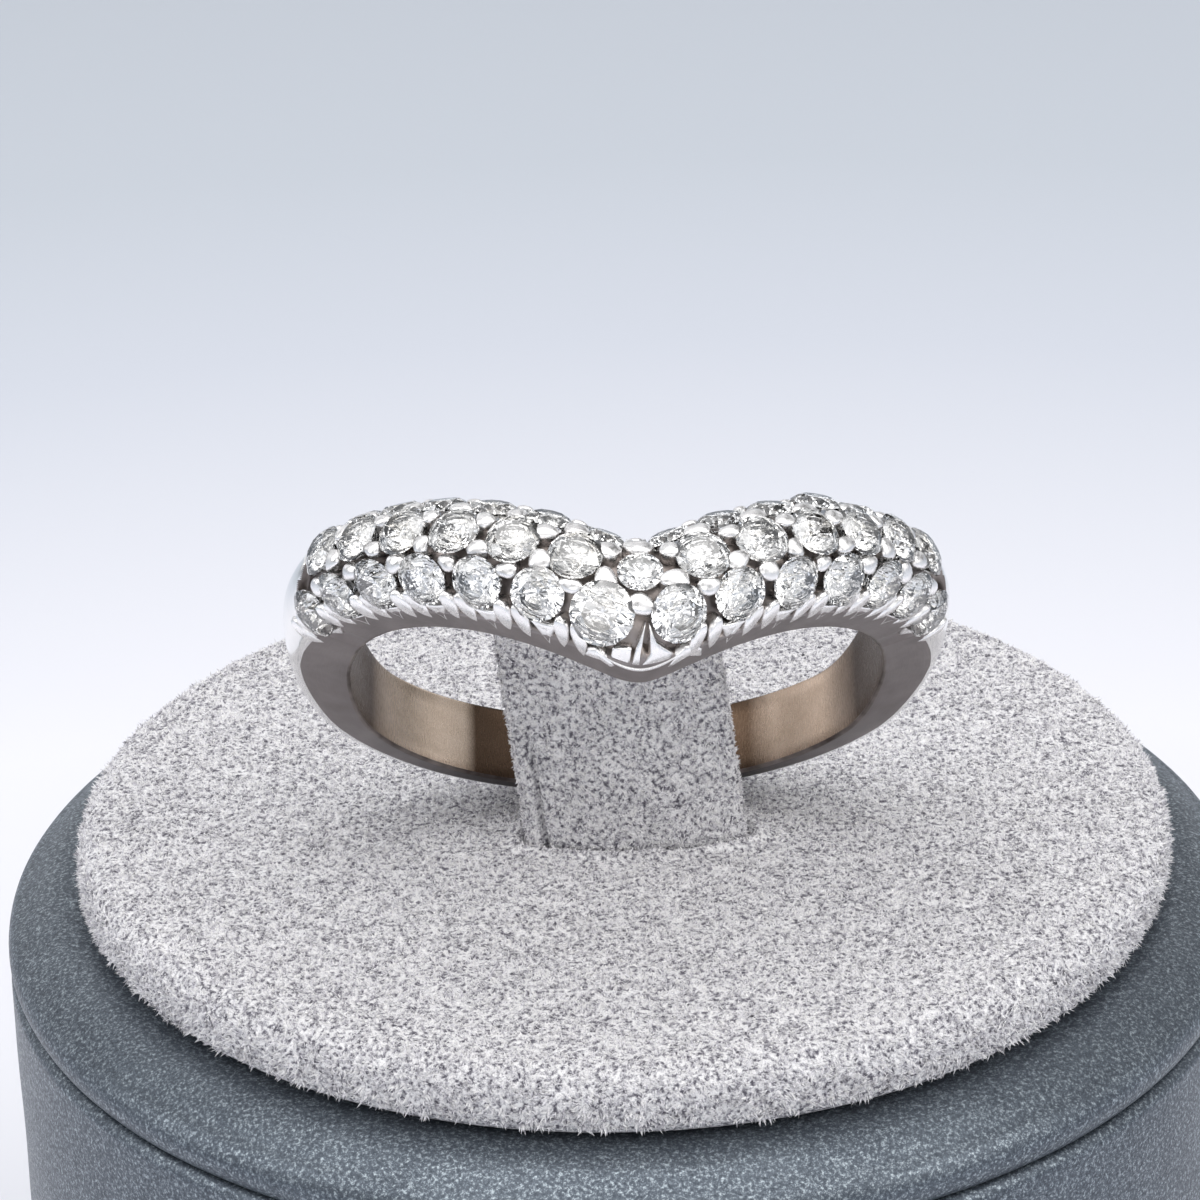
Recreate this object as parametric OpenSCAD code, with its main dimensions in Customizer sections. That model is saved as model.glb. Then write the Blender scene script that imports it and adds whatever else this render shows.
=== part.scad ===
// Chevron ring with three rows of round stones, hung on the tab of a round display stand.
// X is across the finger, Y points away from the viewer, Z is up, all in millimetres.

/* [Band] */
// Diameter of the finger hole
bore_d = 17; // [16.5:0.25:17.75]
// Width of the band under the finger
shank_w = 2.6; // [2.2:0.1:3]
// Width of the band at the sides of the finger
side_w = 3.7; // [3.5:0.05:3.9]
// Width of the band at the tip of the V
tip_w = 4.5; // [4.3:0.05:4.7]
// How far the tip stands in front of the shank
vee_reach = 3.45; // [2.8:0.05:3.8]
// How far the near face draws back at the sides of the finger
side_sweep = 0.4; // [0.2:0.05:0.6]
// Thickness of the crowned band at the tip
crown_t = 2.4; // [2.3:0.05:2.6]
// How far the tip is turned round the finger from the middle of the stand, in degrees
tip_turn = 4; // [0:0.5:5]
// Lean of the finger hole's axis above level, in degrees
ring_tilt = 40.6; // [38:0.2:44]

/* [Stones] */
// Girdle diameter of an ordinary stone
stone_d = 1.6; // [1.45:0.05:1.65]
// Distance from stone to stone along a row
stone_pitch = 2.01; // [1.96:0.01:2.06]
// Diameter of the larger stone on the left of the tip
left_stone_d = 1.88; // [1.6:0.02:1.9]
// Diameter of the larger stone on the right of the tip
right_stone_d = 1.72; // [1.6:0.02:1.8]
// Distance of the front row before the band's mid-line
front_row = 1.17; // [1.1:0.01:1.25]
// Distance of the middle row behind the band's mid-line
middle_row = 0.42; // [0.38:0.01:0.48]
// Where the back row sits round the crown, in degrees from its top
back_row = 55; // [53:0.5:57]
// Depth of the girdles under the crown's surface
stone_sink = 0.075; // [0.04:0.005:0.11]
// Clearance between a stone and its seat
seat_gap = 0.03; // [0.02:0.005:0.04]
// Diameter of the bead prongs between the stones
bead_d = 0.5; // [0.4:0.02:0.56]
// Width of the claw prongs along the near edge
claw_w = 0.35; // [0.27:0.02:0.39]

/* [Tab] */
// Width of the tab
tab_w = 7.1; // [6:0.1:7.6]
// Thickness of the tab
tab_t = 1.7; // [1.4:0.1:2.2]
// Height of the tab above the pad
tab_h = 9.6; // [8:0.1:10.4]
// Radius of the tab's upper corners
tab_corner = 2; // [1:0.25:3]
// Distance of the tab's front in front of the pad's centre
tab_front = 3.9; // [3:0.1:5]
// Distance of the tab to the right of the pad's centre
tab_right = 0.45; // [0:0.05:1]
// How far the middle of the tab bows out towards the viewer
tab_bow = 0.5; // [0.3:0.05:0.8]
// Lean of the tab to the left, in degrees
tab_lean = 6.5; // [0:0.5:7]
// Clearance of the shank behind the tab
grip_gap = 0.15; // [0.1:0.05:0.5]

/* [Stand] */
// Height from the table to the top of the pad
stand_h = 38; // [25:0.5:50]
// Diameter of the pad
pad_d = 36.66; // [32:0.1:37]
// Height of the pad
pad_t = 2.25; // [1.8:0.05:3]
// Radius of the pad's upper edge
pad_edge = 1; // [0.6:0.05:1.4]
// Diameter of the drum
drum_d = 41.9; // [40.5:0.1:44]
// Depth of the shoulder from the pad's foot to the groove
shoulder_t = 2.26; // [2:0.05:2.8]
// Radius of the lip round the shoulder
lip_r = 0.9; // [0.7:0.05:1]
// Radius of the drum's edges
drum_edge = 0.3; // [0.2:0.05:0.6]
// Small gap between pieces that rest on each other
rest_gap = 0.04; // [0.02:0.01:0.08]

/* [Hidden] */
bore_r = bore_d / 2;
drum_r = drum_d / 2;
smooth_fn = 160;
edge_fn = 48;
cut_clear = 1;

// Columns of the band table, heights as shares of crown_t
AT_ANGLE = 0;
CROWN = 1;
NEAR_FACE = 2;
FAR_FACE = 3;
INSET = 4;
band_table = [
    [0, 1, 0.4, 0.33, 0.06],
    [45, 1, 0.4, 0.33, 0.08],
    [65, 1, 0.46, 0.38, 0.12],
    [78, 0.95, 0.6, 0.45, 0.16],
    [90, 0.87, 0.69, 0.5, 0.17],
    [110, 0.82, 0.5, 0.42, 0.12],
    [135, 0.76, 0.33, 0.33, 0.06],
    [180, 0.71, 0.25, 0.25, 0.04]
];
table_blur = 6;

// The V of the two edges: where it ends, how softly it turns at the tip and how it runs out
vee_end = 79;
NEAR_SOFT = 5;
NEAR_POWER = 2;
FAR_SOFT = 2.5;
FAR_POWER = 2.3;
// Angles round the finger between which the wider sides narrow into the shank
NEAR_FADE = [90, 115];
FAR_FADE = [80, 125];
side_back = side_sweep + side_w;
far_dip = vee_reach - tip_w + side_back;

// The crown's curve between its two corners
corner_angle = 68;
stations = 72;
crown_steps = 6;
small_turn = 0.1;

// Columns of the row table: stones in the row, step and extra room at the tip in pitches,
// and diameter as a share of stone_d
NAME = 0;
COUNT = 1;
STEP = 2;
NOTCH = 3;
SIZE = 4;
FRONT = ["front", 14, 1, 0.1, 1];
MIDDLE = ["middle", 13, 0.96, 0, 1];
BACK = ["back", 14, 0.96, 0, 0.94];
rows = [FRONT, MIDDLE, BACK];
tip_share = 0.82;
turn_per_mm = 180 / PI / (bore_r + crown_t);
pitch_angle = stone_pitch * turn_per_mm;

// Proportions of a stone as shares of its diameter
table_share = 0.56;
crown_share = 0.15;
girdle_share = 0.04;
pavilion_share = 0.43;
girdle_sides = 16;

// Seats and prongs: sides, and how far they are turned about their own axes
seat_sides = 12;
seat_turn = 28;
bead_sides = 8;
bead_turn = 24;
claw_sides = 6;

// How far the prongs are rooted in the metal and keep off the stones
bead_root = 0.2;
claw_root = 0.15;
prong_gap = 0.02;
room_depth = 0.35;
room_clear = 0.5;

// A bead's height and head radius as shares of its diameter, and the size of an edge bead
BEAD_RISE = 0.34;
BEAD_HEAD = 0.3;
EDGE_BEAD = 0.9;

// A claw's two ends: height from the root, and width over the foot and head radius
CLAW_TOP = [0.29, 2, 3];
CLAW_END = [0.19, 2.6, 5];
// Half the distance between two claws in claw widths, and that distance at the tip
CLAW_APART = 0.68;
TIP_APART = 1.5;
// Where a claw starts, as a share of the way from its row to the edge, and at the tip
CLAW_START = 0.36;
TIP_START = 0.1;
// How far claws and edge beads end inside the crown's corners, in degrees
CLAW_INSIDE = 3;
BEAD_INSIDE = 2;

function smooth(x) = let (t = min(1, max(0, x))) t * t * (3 - 2 * t);
function falling(phi, fade) = 1 - smooth((abs(phi) - fade[0]) / (fade[1] - fade[0]));
function unit(v) = v / norm(v);

function vee(phi, soft, power) =
    pow(max(0, 1 - (sqrt(phi * phi + soft * soft) - soft) / vee_end), power);
function near_z(phi) =
    (vee_reach + side_sweep) * vee(phi, NEAR_SOFT, NEAR_POWER) - side_sweep * falling(phi, NEAR_FADE);
function far_z(phi) =
    far_dip * vee(phi, FAR_SOFT, FAR_POWER) - shank_w - (side_back - shank_w) * falling(phi, FAR_FADE);
function mid_z(phi) = (near_z(phi) + far_z(phi)) / 2;

function table_at(phi, column) =
    lookup(min(180, max(0, phi)), [for (row = band_table) [row[AT_ANGLE], row[column]]]);
function height(phi, column) = let (a = abs(phi)) crown_t
    * (table_at(a - table_blur, column) + 2 * table_at(a, column) + table_at(a + table_blur, column)) / 4;
function half_w(phi) = (near_z(phi) - far_z(phi)) / 2 - height(phi, INSET);

// A point of the band from the angle round the finger, the radius and the place along the axis
function ring_pt(phi, r, z) = [r * sin(phi + tip_turn), r * cos(phi + tip_turn), z];

// A point of the crown, t degrees from its top towards the near edge
function crown_pt(phi, t) =
    let (face = height(phi, t > 0 ? NEAR_FACE : FAR_FACE),
         rise = (cos(t) - cos(corner_angle)) / (1 - cos(corner_angle)),
         r = bore_r + face + (height(phi, CROWN) - face) * rise)
    ring_pt(phi, r, mid_z(phi) + half_w(phi) * sin(t) / sin(corner_angle));
function along(phi, t) = unit(crown_pt(phi + small_turn, t) - crown_pt(phi - small_turn, t));
function over(phi, t) = unit(crown_pt(phi, t + small_turn) - crown_pt(phi, t - small_turn));
function outward(phi, t) = unit(cross(over(phi, t), along(phi, t)));

// Angle over the crown of a place given by its distance from the mid-line
function crown_angle(phi, off) = asin(off * sin(corner_angle) / half_w(phi));
function row_angle(row, phi) = row == FRONT ? crown_angle(phi, front_row)
    : row == MIDDLE ? crown_angle(phi, -middle_row) : -back_row;
function row_index(row, j) = j - (row[COUNT] - 1) / 2;
function row_phi(row, j) =
    let (s = row_index(row, j)) pitch_angle * (s * row[STEP] + sign(s) * row[NOTCH]);
function size_of(row, j) = let (s = row_index(row, j))
    row == FRONT && s == -0.5 ? left_stone_d
    : row == FRONT && s == 0.5 ? right_stone_d
    : row != FRONT && abs(s) < 1 ? tip_share * stone_d : row[SIZE] * stone_d;
function stone_name(row, j) = str("stone_", row[NAME], "_", j + 1);

// Each stone: name, angle round the finger, angle over the crown, diameter
STONE_NAME = 0;
STONE_PHI = 1;
STONE_T = 2;
STONE_D = 3;
stones = [for (row = rows, j = [0 : row[COUNT] - 1]) let (phi = row_phi(row, j))
    [stone_name(row, j), phi, row_angle(row, phi), size_of(row, j)]];

// The band's own points, one section after another round the finger
section = [for (k = [0 : crown_steps]) corner_angle * (1 - 2 * k / crown_steps)];
function station(phi) = concat(
    [ring_pt(phi, bore_r, near_z(phi))],
    [for (t = section) crown_pt(phi, t)],
    [ring_pt(phi, bore_r, far_z(phi))]);
station_n = len(section) + 2;
band_pts = [for (j = [0 : stations - 1]) each station(-180 + 360 * j / stations)];

// Where the ring stands: low point just above the pad, shank just behind the tab
function rise_of(p) = p.y * cos(ring_tilt) - p.z * sin(ring_tilt);
lip_share = 0.77;
bow_r = (tab_w * tab_w / 4 + tab_bow * tab_bow) / (2 * tab_bow);
ring_right = -0.1;
tab_reach = tab_right + tab_w / 2 - ring_right;
tab_back = bow_r - tab_front - sqrt(pow(bow_r - tab_t, 2) - tab_w * tab_w / 4);
ring_at = [
    ring_right,
    tab_back + grip_gap - sin(ring_tilt) * sqrt(bore_r * bore_r - tab_reach * tab_reach),
    stand_h + rest_gap - min([for (p = band_pts) rise_of(p)])
];

module ring_frame() {
    translate(ring_at) rotate([90 + ring_tilt, 0, 0]) children();
}

// Children stand on the crown with Z along its surface normal
module on_crown(phi, t, lift = 0) {
    u = along(phi, t);
    n = outward(phi, t);
    w = cross(n, u);
    p = crown_pt(phi, t) + lift * n;
    multmatrix([[u.x, w.x, n.x, p.x], [u.y, w.y, n.y, p.y], [u.z, w.z, n.z, p.z], [0, 0, 0, 1]])
        children();
}

module band_blank() {
    faces = [for (j = [0 : stations - 1], i = [0 : station_n - 1])
        let (next_j = (j + 1) % stations,
             next_i = (i + 1) % station_n,
             a = j * station_n + i,
             b = j * station_n + next_i,
             c = next_j * station_n + next_i,
             d = next_j * station_n + i)
        each [[a, b, c], [a, c, d]]];
    polyhedron(points = band_pts, faces = faces, convexity = 8);
}

// Seat under a stone, open above its girdle
module seat(d) {
    r = d / 2 + seat_gap;
    cut_r = r / cos(180 / seat_sides);
    foot = -girdle_share * d / 2 - seat_gap / 2;
    sink = 2 * pavilion_share * r;
    rotate([0, 0, seat_turn]) rotate_extrude($fn = seat_sides)
        polygon([[0, foot - sink], [cut_r, foot], [cut_r, foot + cut_clear], [0, foot + cut_clear]]);
}

// Room that the prongs leave round a stone; a little wider than the seat
module stone_room(d) {
    r = d / 2 + seat_gap + prong_gap;
    cut_r = r / cos(180 / seat_sides);
    brow = girdle_share * d / 2 + seat_gap / 2;
    top = brow + crown_share * d;
    rotate([0, 0, seat_turn]) rotate_extrude($fn = seat_sides)
        polygon([[0, -room_depth], [cut_r, -room_depth], [cut_r, brow], [table_share * r, top],
            [table_share * r, top + room_clear], [0, top + room_clear]]);
}

// A bead prong: foot in the metal, head narrowed
module bead(d) {
    rotate([0, 0, bead_turn]) translate([0, 0, -bead_root])
        cylinder(h = bead_root + d * BEAD_RISE, r1 = d / 2, r2 = d * BEAD_HEAD, $fn = bead_sides);
}

// Prongs in the corners between three neighbouring stones of two rows
module beads_between(row_a, row_b) {
    for (pair = [[row_a, row_b], [row_b, row_a]])
        for (j = [0 : pair[0][COUNT] - 2]) {
            left = row_phi(pair[0], j);
            right = row_phi(pair[0], j + 1);
            near = [for (k = [0 : pair[1][COUNT] - 1])
                let (q = row_phi(pair[1], k)) if (q > left && q < right) q];
            if (len(near) > 0) {
                phi = (left + right + near[0]) / 3;
                t = (2 * row_angle(pair[0], phi) + row_angle(pair[1], phi)) / 3;
                on_crown(phi, t) bead(bead_d);
            }
        }
}

// One claw from beside the front row down to the near edge
module claw(phi, from, to) {
    hull()
        for (end = [[from, CLAW_TOP], [to, CLAW_END]])
            on_crown(phi, end[0], -claw_root)
                cylinder(h = end[1][0], r1 = claw_w / end[1][1], r2 = claw_w / end[1][2], $fn = claw_sides);
}

// Two claws in each gap of the front row, in the middle between the stones' rims
module claws() {
    last = FRONT[COUNT] - 1;
    apart = claw_w * CLAW_APART * turn_per_mm;
    for (j = [-1 : last]) {
        left = j < 0 ? row_phi(FRONT, 0) - pitch_angle : row_phi(FRONT, j);
        right = j == last ? row_phi(FRONT, last) + pitch_angle : row_phi(FRONT, j + 1);
        left_rim = size_of(FRONT, max(0, j)) / 2 * turn_per_mm;
        right_rim = size_of(FRONT, min(last, j + 1)) / 2 * turn_per_mm;
        middle = (left + left_rim + right - right_rim) / 2;
        at_tip = left < 0 && right > 0;
        for (side = [-1, 1]) {
            phi = middle + side * apart * (at_tip ? TIP_APART : 1);
            start = row_angle(FRONT, phi);
            share = at_tip ? TIP_START : CLAW_START;
            claw(phi, start + (corner_angle - start) * share, corner_angle - CLAW_INSIDE);
        }
    }
}

module edge_beads() {
    for (j = [0 : BACK[COUNT] - 2]) {
        phi = (row_phi(BACK, j) + row_phi(BACK, j + 1)) / 2;
        on_crown(phi, BEAD_INSIDE - corner_angle) bead(bead_d * EDGE_BEAD);
    }
}

module ring_band() {
    color([0.8, 0.79, 0.77])
    ring_frame() {
        difference() {
            band_blank();
            for (s = stones)
                on_crown(s[STONE_PHI], s[STONE_T], -stone_sink) seat(s[STONE_D]);
        }
        difference() {
            union() {
                beads_between(FRONT, MIDDLE);
                beads_between(MIDDLE, BACK);
                edge_beads();
                claws();
            }
            for (s = stones)
                on_crown(s[STONE_PHI], s[STONE_T], -stone_sink) stone_room(s[STONE_D]);
        }
    }
}

// A round stone: eight-sided table, crown facets, girdle, and a pavilion down to a point
module stone(d) {
    n = girdle_sides;
    half = n / 2;
    r = d / 2;
    brow = girdle_share * d / 2;
    table = [for (k = [0 : half - 1]) let (a = 360 * (k + 0.5) / half)
        [table_share * r * cos(a), table_share * r * sin(a), brow + crown_share * d]];
    upper = [for (k = [0 : n - 1]) let (a = 360 * k / n) [r * cos(a), r * sin(a), brow]];
    lower = [for (p = upper) [p.x, p.y, -brow]];
    points = concat(table, upper, lower, [[0, 0, -brow - pavilion_share * d]]);
    top = half;
    low = half + n;
    culet = half + 2 * n;
    faces = concat(
        [[for (k = [half - 1 : -1 : 0]) k]],
        [for (k = [0 : half - 1]) [k, top + 2 * k + 1, top + 2 * k]],
        [for (k = [0 : half - 1]) [k, top + (2 * k + 2) % n, top + 2 * k + 1]],
        [for (k = [0 : half - 1]) [k, (k + 1) % half, top + (2 * k + 2) % n]],
        [for (k = [0 : n - 1]) each [
            [top + k, top + (k + 1) % n, low + (k + 1) % n],
            [top + k, low + (k + 1) % n, low + k]]],
        [for (k = [0 : n - 1]) [low + k, low + (k + 1) % n, culet]]);
    polyhedron(points = points, faces = faces, convexity = 2);
}

module set_stone(s) {
    color([0.9, 0.93, 0.95])
    ring_frame()
    on_crown(s[STONE_PHI], s[STONE_T], -stone_sink) stone(s[STONE_D]);
}

// Plan of the bowed tab, grown on every side
module tab_plan(grow) {
    translate([0, bow_r - tab_front])
    intersection() {
        difference() {
            circle(r = bow_r + grow, $fn = smooth_fn);
            circle(r = bow_r - tab_t - grow, $fn = smooth_fn);
        }
        translate([-tab_w / 2 - grow, -bow_r - 2 * grow])
            square([tab_w + 2 * grow, bow_r]);
    }
}

// Front outline of the tab with its two rounded upper corners, grown on every side
module tab_outline(grow) {
    w = tab_w + 2 * grow;
    top = tab_h + grow;
    deep = 2 * pad_t;
    translate([-w / 2, -deep]) square([w, deep + top - tab_corner]);
    translate([tab_corner - w / 2, 0]) square([w - 2 * tab_corner, top]);
    for (side = [-1, 1])
        translate([side * (w / 2 - tab_corner), top - tab_corner]) circle(r = tab_corner, $fn = smooth_fn);
}

module tab_solid(grow, foot) {
    reach = 2 * drum_r;
    difference() {
        translate([tab_right, 0, stand_h]) rotate([0, -tab_lean, 0])
            intersection() {
                translate([0, 0, -2 * pad_t]) linear_extrude(height = 2 * pad_t + tab_h + cut_clear)
                    tab_plan(grow);
                translate([0, reach / 2, 0]) rotate([90, 0, 0])
                    linear_extrude(height = reach) tab_outline(grow);
            }
        translate([-drum_r, -drum_r, foot - reach]) cube([reach, reach, reach]);
    }
}

module suede_tab() {
    color([0.64, 0.62, 0.66])
        tab_solid(0, stand_h - pad_t);
}

module suede_pad() {
    r = pad_d / 2;
    color([0.68, 0.66, 0.7])
    difference() {
        translate([0, 0, stand_h - pad_t]) rotate_extrude($fn = smooth_fn) {
            square([r - pad_edge, pad_t]);
            square([r, pad_t - pad_edge]);
            translate([r - pad_edge, pad_t - pad_edge]) circle(r = pad_edge, $fn = edge_fn);
        }
        tab_solid(rest_gap, stand_h - 2 * pad_t);
    }
}

module stand_shoulder() {
    top = shoulder_t - rest_gap;
    lip_at = [drum_r - lip_r, lip_r * lip_share];
    start = [pad_d / 2 + rest_gap, top];
    d = lip_at - start;
    slope = atan2(d.y, d.x) + asin(lip_r / norm(d));
    touch = lip_at + lip_r * [-sin(slope), cos(slope)];
    color([0.2, 0.25, 0.3])
    translate([0, 0, stand_h - pad_t - shoulder_t])
        rotate_extrude($fn = smooth_fn)
            intersection() {
                union() {
                    polygon([[0, 0], [lip_at.x, 0], lip_at, touch, start, [0, top]]);
                    translate(lip_at) circle(r = lip_r, $fn = edge_fn);
                }
                square([2 * drum_r, 2 * top]);
            }
}

module stand_drum() {
    h = stand_h - pad_t - shoulder_t - rest_gap;
    color([0.18, 0.22, 0.27])
    rotate_extrude($fn = smooth_fn) {
        square([drum_r - drum_edge, h]);
        translate([0, drum_edge]) square([drum_r, h - 2 * drum_edge]);
        for (z = [drum_edge, h - drum_edge])
            translate([drum_r - drum_edge, z]) circle(r = drum_edge, $fn = edge_fn);
    }
}

ring_band();
for (s = stones)
    set_stone(s);
suede_tab();
suede_pad();
stand_shoulder();
stand_drum();
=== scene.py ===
# Chevron ring with three rows of round stones on a round display stand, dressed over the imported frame.
# Sizes are in millimetres, angles in degrees, and MM turns them into Blender's metres.
import math
from collections import namedtuple

import bpy
import numpy as np
from mathutils import Matrix, Vector


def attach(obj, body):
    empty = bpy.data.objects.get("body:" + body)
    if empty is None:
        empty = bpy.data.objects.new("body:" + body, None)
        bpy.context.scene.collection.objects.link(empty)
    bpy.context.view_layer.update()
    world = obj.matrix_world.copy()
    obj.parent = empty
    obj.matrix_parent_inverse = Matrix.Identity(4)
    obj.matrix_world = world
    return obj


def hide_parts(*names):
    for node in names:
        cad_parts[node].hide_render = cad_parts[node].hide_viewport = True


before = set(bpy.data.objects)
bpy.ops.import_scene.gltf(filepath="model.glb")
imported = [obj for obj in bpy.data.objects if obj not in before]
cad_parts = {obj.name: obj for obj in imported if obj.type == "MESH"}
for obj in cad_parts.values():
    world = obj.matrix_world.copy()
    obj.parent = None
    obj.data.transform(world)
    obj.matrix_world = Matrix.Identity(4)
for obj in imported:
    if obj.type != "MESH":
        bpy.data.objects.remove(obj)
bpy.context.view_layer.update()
MM = 0.001
RNG = np.random.default_rng(7)

# Camera, at the photograph's angle
CAM_AT = (-0.566, -138.114, 110.806)
CAM_ELEVATION = 25.358
CAM_ROLL = -1.61
CAM_LENS = 138.393
SENSOR = 36

# Band, as in the part's source
BORE_R = 8.5
SHANK_W, SIDE_W, TIP_W = 2.6, 3.7, 4.5
VEE_REACH, SIDE_SWEEP, VEE_END = 3.45, 0.4, 79
CROWN_T = 2.4
TIP_TURN, RING_TILT = 4, 40.6
RING_AT = (-0.1, -6.315, 45.194)
NEAR_SOFT, NEAR_POWER, FAR_SOFT, FAR_POWER = 5, 2, 2.5, 2.3
NEAR_FADE, FAR_FADE = (90, 115), (80, 125)
SIDE_BACK = SIDE_SWEEP + SIDE_W
FAR_DIP = VEE_REACH - TIP_W + SIDE_BACK
CORNER = 68
# Columns: angle, crown, near face, far face, inset, heights as shares of CROWN_T
BAND = np.array([
    [0, 1, 0.4, 0.33, 0.06],
    [45, 1, 0.4, 0.33, 0.08],
    [65, 1, 0.46, 0.38, 0.12],
    [78, 0.95, 0.6, 0.45, 0.16],
    [90, 0.87, 0.69, 0.5, 0.17],
    [110, 0.82, 0.5, 0.42, 0.12],
    [135, 0.76, 0.33, 0.33, 0.06],
    [180, 0.71, 0.25, 0.25, 0.04],
])
CROWN, NEAR_FACE, FAR_FACE, INSET = 1, 2, 3, 4
TABLE_BLUR = 6

# Stones and prongs
STONE_D, STONE_PITCH = 1.6, 2.01
STONE_SINK, BACK_SINK, PROUD_SINK = 0.075, 0.2, 0.06
PROUD_ONE = 10  # the back row's stone that stands proud in the photo
LEFT_D, RIGHT_D, TIP_SHARE, BACK_SHARE = 1.88, 1.72, 0.82, 0.94
FRONT_ROW, MIDDLE_ROW, BACK_ROW = 1.17, 0.42, 55
Row = namedtuple("Row", "name stones step tip_room")  # step and extra room at the tip in pitches
FRONT = Row("front", 14, 1, 0.1)
MIDDLE = Row("middle", 13, 0.96, 0)
BACK = Row("back", 14, 0.96, 0)
SHOWN = 1.07  # the stones are shown this much larger than the CAD's, nearly touching
TURN_PER_MM = math.degrees(1) / (BORE_R + CROWN_T)
PITCH = STONE_PITCH * TURN_PER_MM
STONE_TILT = 2.5  # how unevenly the stones sit, in degrees
GIRDLE, TABLE, CROWN_H, PAVILION = 0.04, 0.56, 0.15, 0.43  # shares of a stone's diameter
STAR_IN = 0.985  # how far the star facets' corners are drawn in
LOW_R, LOW_DEPTH = 0.22, 0.79  # the pavilion's lower corners, as shares of its radius and depth

# Stand, heights from the table
STAND_H = 38
PAD_R, PAD_T, PAD_EDGE = 18.33, 2.25, 1.0
DRUM_R, SHOULDER_T, LIP_R, DRUM_EDGE, REST = 20.95, 2.26, 0.9, 0.3, 0.04
TAB_W, TAB_T, TAB_H, TAB_CORNER = 7.1, 1.7, 9.6, 2.0
TAB_FRONT, TAB_RIGHT, TAB_BOW, TAB_LEAN = 3.9, 0.45, 0.5, 6.5
BOW_R = (TAB_W ** 2 / 4 + TAB_BOW ** 2) / (2 * TAB_BOW)


def cosd(a):
    return np.cos(np.radians(a))


def sind(a):
    return np.sin(np.radians(a))


def smooth(x):
    t = np.clip(x, 0, 1)
    return t * t * (3 - 2 * t)


def falling(phi, fade):
    """One round the tip, falling to nothing between fade's angles."""
    return 1 - smooth((np.abs(phi) - fade[0]) / (fade[1] - fade[0]))


def vee(phi, soft, power):
    """The chevron's point: one at the tip, rounded by soft degrees."""
    return np.maximum(0, 1 - (np.sqrt(phi * phi + soft * soft) - soft) / VEE_END) ** power


def near_z(phi):
    """Where the band's near side face is along the finger, phi degrees round it from the tip."""
    return (VEE_REACH + SIDE_SWEEP) * vee(phi, NEAR_SOFT, NEAR_POWER) - SIDE_SWEEP * falling(phi, NEAR_FADE)


def far_z(phi):
    return (FAR_DIP * vee(phi, FAR_SOFT, FAR_POWER) - SHANK_W
            - (SIDE_BACK - SHANK_W) * falling(phi, FAR_FADE))


def height(phi, column):
    """A column of BAND at phi, blurred over the table's steps."""
    a = np.abs(phi)

    def look(q):
        return np.interp(np.clip(q, 0, 180), BAND[:, 0], BAND[:, column])

    return CROWN_T * (look(a - TABLE_BLUR) + 2 * look(a) + look(a + TABLE_BLUR)) / 4


def half_w(phi):
    return (near_z(phi) - far_z(phi)) / 2 - height(phi, INSET)


def ring_pt(phi, r, z):
    return np.stack([r * sind(phi + TIP_TURN), r * cosd(phi + TIP_TURN), z + 0 * phi], axis=-1)


def crown_pt(phi, t):
    """A point of the domed crown, t degrees over it from its middle, positive towards the near side."""
    phi, t = np.broadcast_arrays(np.asarray(phi, float), np.asarray(t, float))
    face = np.where(t > 0, height(phi, NEAR_FACE), height(phi, FAR_FACE))
    rise = (cosd(t) - cosd(CORNER)) / (1 - cosd(CORNER))
    r = BORE_R + face + (height(phi, CROWN) - face) * rise
    return ring_pt(phi, r, (near_z(phi) + far_z(phi)) / 2 + half_w(phi) * sind(t) / sind(CORNER))


def unit(v):
    return v / np.linalg.norm(v, axis=-1, keepdims=True)


def crown_frame(phi, t, d=0.1):
    """Point, direction round the finger, direction over the crown and outward normal."""
    p = crown_pt(phi, t)
    u = unit(crown_pt(phi + d, t) - crown_pt(phi - d, t))
    over = unit(crown_pt(phi, t + d) - crown_pt(phi, t - d))
    n = unit(np.cross(over, u))
    return p, u, np.cross(n, u), n


def to_world(p):
    """From the ring's own frame to the stand's, in millimetres."""
    a = math.radians(90 + RING_TILT)
    c, s = math.cos(a), math.sin(a)
    x, y, z = p[..., 0], p[..., 1], p[..., 2]
    return np.stack([x, c * y - s * z, s * y + c * z], axis=-1) + np.array(RING_AT)


def crown_angle(phi, off):
    return np.degrees(np.arcsin(off * sind(CORNER) / half_w(phi)))


def row_angle(row, phi):
    if row is FRONT:
        return crown_angle(phi, FRONT_ROW)
    if row is MIDDLE:
        return crown_angle(phi, -MIDDLE_ROW)
    return -BACK_ROW + 0 * phi


def from_tip(row, j):
    """How many stones along its row a stone is from the tip, negative on the left."""
    return j - (row.stones - 1) / 2


def row_phi(row, j):
    s = from_tip(row, j)
    return PITCH * (s * row.step + np.sign(s) * row.tip_room)


def size_of(row, j):
    s = from_tip(row, j)
    if row is FRONT and abs(s) == 0.5:
        return LEFT_D if s < 0 else RIGHT_D
    if row is not FRONT and abs(s) < 1:
        return TIP_SHARE * STONE_D
    return STONE_D * (BACK_SHARE if row is BACK else 1)


def sink_of(row, j):
    """How deep a stone's girdle sits below the crown."""
    if row is BACK:
        return PROUD_SINK if j == PROUD_ONE else BACK_SINK
    return STONE_SINK


STONES = [(row, j, float(row_phi(row, j)), float(row_angle(row, row_phi(row, j))), SHOWN * size_of(row, j))
          for row in (FRONT, MIDDLE, BACK) for j in range(row.stones)]


# Meshes
def make_object(name, points, faces, smooth_shade=True):
    """An object in the scene from points in millimetres."""
    mesh = bpy.data.meshes.new(name)
    mesh.from_pydata((np.asarray(points, float) * MM).tolist(), [],
                     faces.tolist() if isinstance(faces, np.ndarray) else faces)
    mesh.validate()
    mesh.update()
    if smooth_shade:
        mesh.polygons.foreach_set("use_smooth", [True] * len(mesh.polygons))
    obj = bpy.data.objects.new(name, mesh)
    bpy.context.scene.collection.objects.link(obj)
    return obj


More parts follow.
